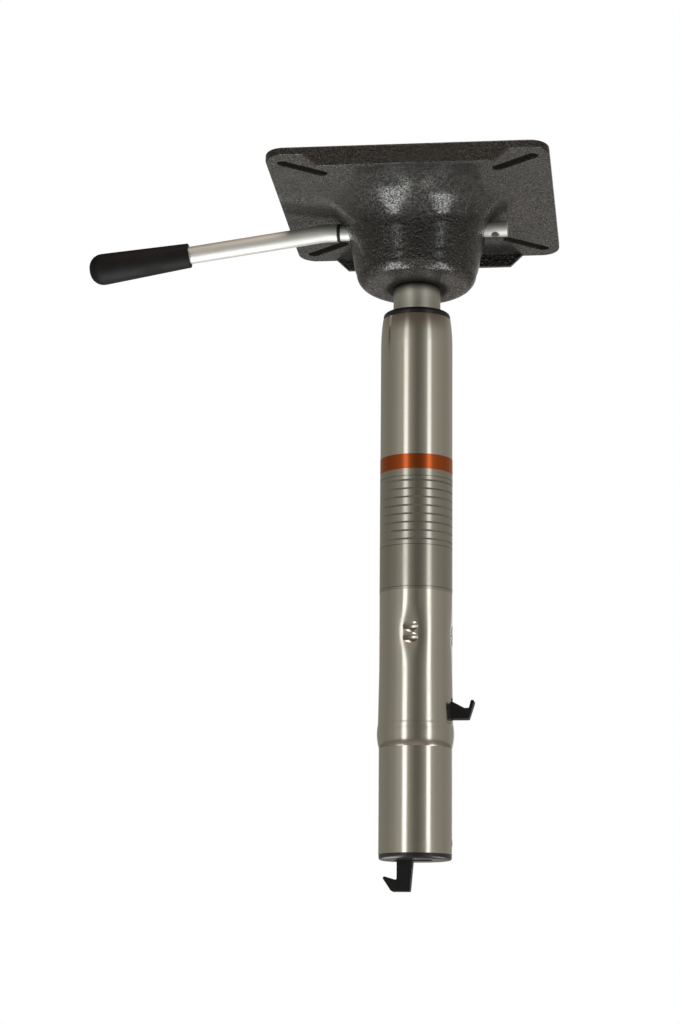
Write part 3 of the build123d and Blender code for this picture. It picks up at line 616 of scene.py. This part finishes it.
def slot_walls(tree, place):
    """1 on faces inside the plate's thickness and away from its rim."""
    laid = add_node(tree, "ShaderNodeMapping", {"vector_type": "TEXTURE"})
    laid.inputs["Location"].default_value = plate_middle
    laid.inputs["Rotation"].default_value = (-plate_tilt, 0.0, 0.0)
    join(tree, place, laid.inputs["Vector"])
    parts = split(tree, laid.outputs[0])
    across = within(tree, parts["X"], *plate_inner)
    along = within(tree, parts["Y"], *plate_inner)
    deep = within(tree, parts["Z"], *slot_wall)
    return math_node(tree, "MULTIPLY", deep, math_node(tree, "MULTIPLY", across, along))


def foot_shade_ring(tree, place):
    """1 close to the axis and low on the mount, where the foot meets the cylinder: painted shade."""
    parts = split(tree, place)
    length = add_node(tree, "ShaderNodeVectorMath", {"operation": "LENGTH"})
    join(tree, combine(tree, X=parts["X"], Y=parts["Y"]), length.inputs[0])
    close = ramp(tree, length.outputs["Value"], *foot_shade_reach)
    return math_node(tree, "MULTIPLY", close, math_node(tree, "LESS_THAN", parts["Z"], foot_shade_top))


# %% Sizes of the hammered coat
rim_colour = (0.016, 0.016, 0.015)
floor_of_dimple = (0.004, 0.004, 0.0038)
# Painted shade: the near-black of the slots' walls and of the ring round the cylinder.
painted_shade_colour = (0.001, 0.001, 0.001)
cell_scale = 600.0
edge_scale = 300.0
edge_bend = 0.0016
flake_scale = 900.0
dimple_range = (0.15, 0.60)
spark_range = (0.44, 0.58)
coat_between = (0.15, 1.0)
gloss_between = (0.24, 0.32)
rougher_off_spark = 0.16
dull_roughness = 0.85
flake_share = 0.55
dimple_depth = 0.00085


# %% Hammered coat
def hammered_coat(name):
    """Dimpled dark paint, patchy glossy top layer; matte painted shade in slots and round the neck."""
    made, tree, shader = new_material(name, Coat_Roughness=0.18, Coat_IOR=1.6)
    place = object_place(tree)
    shift = add_node(tree, "ShaderNodeVectorMath", {"operation": "MULTIPLY_ADD"})
    join(tree, noise(tree, place, Scale=edge_scale, Detail=2.0)["Color"], shift.inputs[0])
    shift.inputs[1].default_value = (edge_bend, edge_bend, edge_bend)
    join(tree, place, shift.inputs[2])
    cells = add_node(
        tree, "ShaderNodeTexVoronoi", {"feature": "SMOOTH_F1"}, Scale=cell_scale, Smoothness=0.30
    )
    join(tree, shift.outputs[0], cells.inputs["Vector"])
    dimple = ramp(tree, cells.outputs["Distance"], *dimple_range)
    flake = noise(tree, place, Scale=flake_scale, Detail=2.0, Roughness=0.6)["Fac"]
    spark = ramp(tree, flake, *spark_range)
    # Painted shade: the slots' walls and the ring round the cylinder turn near-black, uncoated and
    # rough.
    shade_mask = math_node(tree, "MAXIMUM", slot_walls(tree, place), foot_shade_ring(tree, place))

    paint = mix_colour(tree, dimple, floor_of_dimple, rim_colour)
    join(tree, mix_colour(tree, shade_mask, paint, painted_shade_colour), shader.inputs["Base Color"])
    coat = mix_value(tree, spark, *coat_between)
    coat = math_node(tree, "MULTIPLY", coat, math_node(tree, "SUBTRACT", 1.0, shade_mask))
    join(tree, coat, shader.inputs["Coat Weight"])
    gloss = mix_value(tree, use_group(tree, smudges).outputs["Mask"], *gloss_between)
    gloss = math_node(tree, "ADD", gloss, mix_value(tree, spark, rougher_off_spark, 0.0))
    gloss = math_node(tree, "MAXIMUM", gloss, math_node(tree, "MULTIPLY", shade_mask, dull_roughness))
    join(tree, gloss, shader.inputs["Roughness"])
    relief = math_node(tree, "ADD", dimple, math_node(tree, "MULTIPLY", flake, flake_share))
    bump(tree, shader, relief, strength=1.0, distance=dimple_depth)
    return made


finishes["hammered_paint"] = hammered_coat("hammered_paint")

# %% [markdown]
# ## Plastics and rubber
# The cap, the latch and the grip are moulded black plastic, and the stop and seals are rubber. A
# flat black would hide their shape, so each has a fine grain and two close tones. They differ in
# how matte they are and in how coarse their grain is.

# %% Moulding recipe
grain_strength = 0.3


def moulding(name, light, dark, polish, smudged, fineness, depth, sheen=0.5):
    """A moulded plastic or rubber with an even grain. Sheen is the shader's plain specular level."""
    made, tree, shader = new_material(name, Specular_IOR_Level=sheen)
    grain = use_group(tree, moulded_grain, Fineness=fineness)
    marks = use_group(tree, smudges)
    join(tree, mix_colour(tree, grain.outputs["Tone"], dark, light), shader.inputs["Base Color"])
    roughness = mix_value(tree, marks.outputs["Mask"], polish, smudged)
    join(tree, roughness, shader.inputs["Roughness"])
    bump(tree, shader, grain.outputs["Height"], grain_strength, depth)
    return made


# %% Make the plastics
# Each row: light and dark colour, polish, smudged, fineness, grain depth, sheen.
blacks = {
    "black_moulding": (
        (0.018, 0.0175, 0.0175), (0.011, 0.0105, 0.0105), 0.30, 0.42, 1500.0, 0.00004
    ),
    "latch_moulding": (
        (0.008, 0.008, 0.0085), (0.005, 0.005, 0.0055), 0.45, 0.58, 1300.0, 0.00005, 0.25
    ),
    "grip_moulding": (
        (0.012, 0.012, 0.0125), (0.008, 0.008, 0.0085), 0.55, 0.70, 1700.0, 0.00005, 0.22
    ),
    "black_rubber": (
        (0.024, 0.024, 0.024), (0.014, 0.014, 0.014), 0.62, 0.78, 1100.0, 0.00006
    ),
}
for name, recipe in blacks.items():
    finishes[name] = moulding(name, *recipe)
print("finishes:", sorted(finishes))

# %% [markdown]
# ## Dress the CAD nodes
# Each node of the frame names its material slot in the record. Finishes could be given node by node
# by hand, but the record already says which piece is made of what. The finish of that name goes
# into the node's own material slots, and nothing else about the node changes.

# %% Give every node its finish
slot_of = {part["node"]: part["material_slot"] for part in frame["record"]["subparts"]}
for name, piece in nodes.items():
    finish = finishes[slot_of[name]]
    if not piece.material_slots:
        piece.data.materials.append(finish)
    for place in piece.material_slots:
        place.material = finish
print("dressed:", {name: slot_of[name] for name in sorted(nodes)})

# %% [markdown]
# ## Latch spring
# A small coil spring inside the post's foot pushes the latch lever out. The lever squeezes it when
# it turns. Here a coil replaces the node. A screw modifier could wind it, but a coil follows a
# rule, so Geometry Nodes draw it: a round wire along a spiral whose turns close up at both ends.

# %% Geometry tree helpers
crease_angle = radians(40.0)


def new_geometry_tree(name, **inputs):
    """A Geometry Nodes tree with a geometry socket on each side and inputs (name: kind)."""
    tree = bpy.data.node_groups.new(name, "GeometryNodeTree")
    face = tree.interface
    face.new_socket("Geometry", in_out="INPUT", socket_type="NodeSocketGeometry")
    for label, kind in inputs.items():
        face.new_socket(label, in_out="INPUT", socket_type="NodeSocket" + kind)
    face.new_socket("Geometry", in_out="OUTPUT", socket_type="NodeSocketGeometry")
    return tree, tree.nodes.new("NodeGroupInput").outputs, tree.nodes.new("NodeGroupOutput")


def move_points(tree, geometry, place):
    """Set Position: move every point of a geometry to a place worked out for it."""
    made = add_node(tree, "GeometryNodeSetPosition")
    join(tree, geometry, made.inputs["Geometry"])
    join(tree, place, made.inputs["Position"])
    return made.outputs[0]


def end_tree(tree, geometry, finish, outlet):
    """Realize Instances and Set Material, then out."""
    real = add_node(tree, "GeometryNodeRealizeInstances")
    join(tree, geometry, real.inputs[0])
    dressed = add_node(tree, "GeometryNodeSetMaterial")
    join(tree, real.outputs[0], dressed.inputs["Geometry"])
    join(tree, finish, dressed.inputs["Material"])
    join(tree, dressed.outputs[0], outlet.inputs[0])


def run_tree(name, tree, **values):
    """Set a tree's named inputs on a new object and keep the result as a plain mesh."""
    piece = bpy.data.objects.new(name, bpy.data.meshes.new(name))
    scene.collection.objects.link(piece)
    maker = piece.modifiers.new("maker", "NODES")
    maker.node_group = tree
    for socket in tree.interface.items_tree:
        if socket.item_type == "SOCKET" and socket.in_out == "INPUT" and socket.name in values:
            maker[socket.identifier] = values[socket.name]
    made = piece.evaluated_get(bpy.context.evaluated_depsgraph_get())
    piece_mesh = bpy.data.meshes.new_from_object(made)
    piece.modifiers.clear()
    piece.data = piece_mesh
    piece_mesh.shade_smooth()
    piece_mesh.set_sharp_from_angle(angle=crease_angle)
    print(name, len(piece_mesh.polygons), "faces")
    return piece


# %% Coil tree
points_per_turn = 28
wire_sides = 12


def coil_tree():
    """Geometry Nodes: a round wire wound along X from a starting point, closer at both ends."""
    tree, given, outlet = new_geometry_tree(
        "wound_wire", Turns="Float", Radius="Float", Length="Float", Wire="Float", Start="Vector",
        Finish="Material",
    )
    spiral = add_node(tree, "GeometryNodeCurveSpiral", Resolution=points_per_turn)
    join(tree, given["Turns"], spiral.inputs["Rotations"])
    join(tree, given["Radius"], spiral.inputs["Start Radius"])
    join(tree, given["Radius"], spiral.inputs["End Radius"])
    join(tree, given["Length"], spiral.inputs["Height"])
    spot = split(tree, add_node(tree, "GeometryNodeInputPosition").outputs[0])
    along = math_node(tree, "DIVIDE", spot["Z"], given["Length"])
    eased = math_node(tree, "ADD", along, ramp(tree, along, 0.0, 1.0))
    height = math_node(tree, "MULTIPLY", math_node(tree, "MULTIPLY", eased, 0.5), given["Length"])
    closed = move_points(
        tree, spiral.outputs["Curve"], combine(tree, X=spot["X"], Y=spot["Y"], Z=height)
    )
    section = add_node(tree, "GeometryNodeCurvePrimitiveCircle", Resolution=wire_sides)
    join(tree, given["Wire"], section.inputs["Radius"])
    drawn = add_node(tree, "GeometryNodeCurveToMesh", Fill_Caps=True)
    join(tree, closed, drawn.inputs["Curve"])
    join(tree, section.outputs["Curve"], drawn.inputs["Profile Curve"])
    laid = add_node(tree, "GeometryNodeTransform", Rotation=(0.0, pi / 2, 0.0))
    join(tree, drawn.outputs["Mesh"], laid.inputs["Geometry"])
    join(tree, given["Start"], laid.inputs["Translation"])
    end_tree(tree, laid.outputs[0], given["Finish"], outlet)
    return tree


# %% Wind the spring
wire_radius = 0.00045
spring_turns = 5.0
coil_low, coil_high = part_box("latch_spring")
coil_radius = (coil_high.z - coil_low.z) / 2 - wire_radius
coil_length = coil_high.x - coil_low.x - 2 * wire_radius
coil_start = Vector((coil_low.x + wire_radius, 0.0, (coil_low.z + coil_high.z) / 2))
latch_coil = run_tree(
    "latch_coil", coil_tree(), Turns=spring_turns, Radius=coil_radius, Length=coil_length,
    Wire=wire_radius, Start=coil_start, Finish=finishes["bright_steel"],
)
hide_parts("latch_spring")
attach(latch_coil, "post")
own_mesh(latch_coil)
coil_points = [v.co for v in latch_coil.data.vertices]
for axis in range(3):
    ends = [1000 * pick(point[axis] for point in coil_points) for pick in (min, max)]
    print("coil", "XYZ"[axis], "in mm:", [round(end, 2) for end in ends])

# %% [markdown]
# ## Decal
# A thin printed film wraps the front of the post. Here it is a plain one: an orange band at the
# top, two thin rules across, a set of faint rules between them and one near its foot. They could be
# drawn in the post's finish, but as pieces they keep a crisp edge from any side. All of them are the
# same thing, a flat strip bent round the tube and repeated down it, so one Geometry Nodes tree makes
# each set from its own sizes: a box cut into short lengths is placed on the points of a line, and
# Set Position rolls it round the axis.

# %% Decal sizes
decal_facing = radians(12.0)
line_facing = radians(16.0)
film_wrap = radians(212.0)
line_wrap = radians(140.0)
band_top = 0.2439
band_height = 0.0094
film_foot = 0.1595
film_thickness = 0.00006
ink_thickness = 0.00003
rule_levels = {"decal_rule_top": 0.2301, "decal_rule_middle": 0.1873, "decal_rule_foot": 0.1613}
rule_height = 0.00032
line_count = 8
line_pitch = 0.00523
line_height = 0.0011
first_line = 0.2272
film_radius = post_radius + film_thickness / 2
ink_radius = post_radius + film_thickness + ink_thickness / 2
film_height = band_top - film_foot
strip_points = 73


# %% Strip tree
def strip_tree():
    """Geometry Nodes: flat strips, repeated downwards and rolled round the post."""
    tree, given, outlet = new_geometry_tree(
        "wrapped_strips", Count="Int", Level="Float", Pitch="Float", Length="Float", Height="Float",
        Thickness="Float", Radius="Float", Facing="Float", Finish="Material",
    )
    strip = add_node(tree, "GeometryNodeMeshCube", Vertices_X=strip_points)
    size = combine(tree, X=given["Length"], Y=given["Thickness"], Z=given["Height"])
    join(tree, size, strip.inputs["Size"])
    column = add_node(tree, "GeometryNodeMeshLine")
    join(tree, given["Count"], column.inputs["Count"])
    join(tree, combine(tree, Z=given["Level"]), column.inputs["Start Location"])
    step = math_node(tree, "MULTIPLY", given["Pitch"], -1.0)
    join(tree, combine(tree, Z=step), column.inputs["Offset"])
    placed = add_node(tree, "GeometryNodeInstanceOnPoints")
    join(tree, column.outputs["Mesh"], placed.inputs["Points"])
    join(tree, strip.outputs["Mesh"], placed.inputs["Instance"])
    real = add_node(tree, "GeometryNodeRealizeInstances")
    join(tree, placed.outputs[0], real.inputs[0])
    spot = split(tree, add_node(tree, "GeometryNodeInputPosition").outputs[0])
    rolled = math_node(tree, "DIVIDE", spot["X"], given["Radius"])
    rolled = math_node(tree, "ADD", rolled, given["Facing"])
    reach = math_node(tree, "SUBTRACT", given["Radius"], spot["Y"])
    across = math_node(tree, "MULTIPLY", reach, math_node(tree, "SINE", rolled))
    front = math_node(tree, "MULTIPLY", reach, math_node(tree, "COSINE", rolled))
    front = math_node(tree, "MULTIPLY", front, -1.0)
    bent = move_points(tree, real.outputs[0], combine(tree, X=across, Y=front, Z=spot["Z"]))
    end_tree(tree, bent, given["Finish"], outlet)
    return tree


wrapped_strips = strip_tree()
print("strip tree nodes:", len(wrapped_strips.nodes))

# %% [markdown]
# The film is satin silver, a little darker than the tube, so its finish is the metal recipe again.
# The orange is printed on it in a clear ink, so it mirrors the strips too and stays a metal with an
# orange tint. The rules are a dull dark grey, and the faint ones a lighter grey.

# %% Decal finishes
film_metals = {
    "film_silver": ((0.50, 0.485, 0.43), (0.44, 0.425, 0.375), 0.20, 0.26, along_z, 900.0, 0.00001),
    "band_orange": ((0.58, 0.135, 0.035), (0.50, 0.105, 0.028), 0.22, 0.30, along_z, 900.0, 0.00001),
}
inks = {
    "rule_grey": ((0.050, 0.050, 0.046), (0.034, 0.034, 0.032), 0.40, 0.50, 900.0, 0.00001),
    "line_grey": ((0.150, 0.148, 0.130), (0.110, 0.108, 0.096), 0.34, 0.44, 900.0, 0.00001),
}
for name, recipe in film_metals.items():
    finishes[name] = metal(name, *recipe)
for name, recipe in inks.items():
    finishes[name] = moulding(name, *recipe)


# %% Wrap the strips
def wrap(name, finish, radius, turn, level, height, thickness, count=1, pitch=0.0, facing=decal_facing):
    """Run the strip tree with its own sizes and let the strips ride on the post."""
    piece = run_tree(
        name, wrapped_strips, Count=count, Level=level, Pitch=pitch, Length=turn * radius, Height=height,
        Thickness=thickness, Radius=radius, Facing=facing, Finish=finishes[finish],
    )
    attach(piece, "post")


wrap("decal_film", "film_silver", film_radius, film_wrap, band_top - film_height / 2, film_height,
     film_thickness)
wrap("decal_band", "band_orange", ink_radius, film_wrap, band_top - band_height / 2, band_height,
     ink_thickness)
for name, level in rule_levels.items():
    wrap(name, "rule_grey", ink_radius, film_wrap, level, rule_height, ink_thickness)
wrap("decal_lines", "line_grey", ink_radius, line_wrap, first_line, line_height, ink_thickness,
     line_count, line_pitch, line_facing)
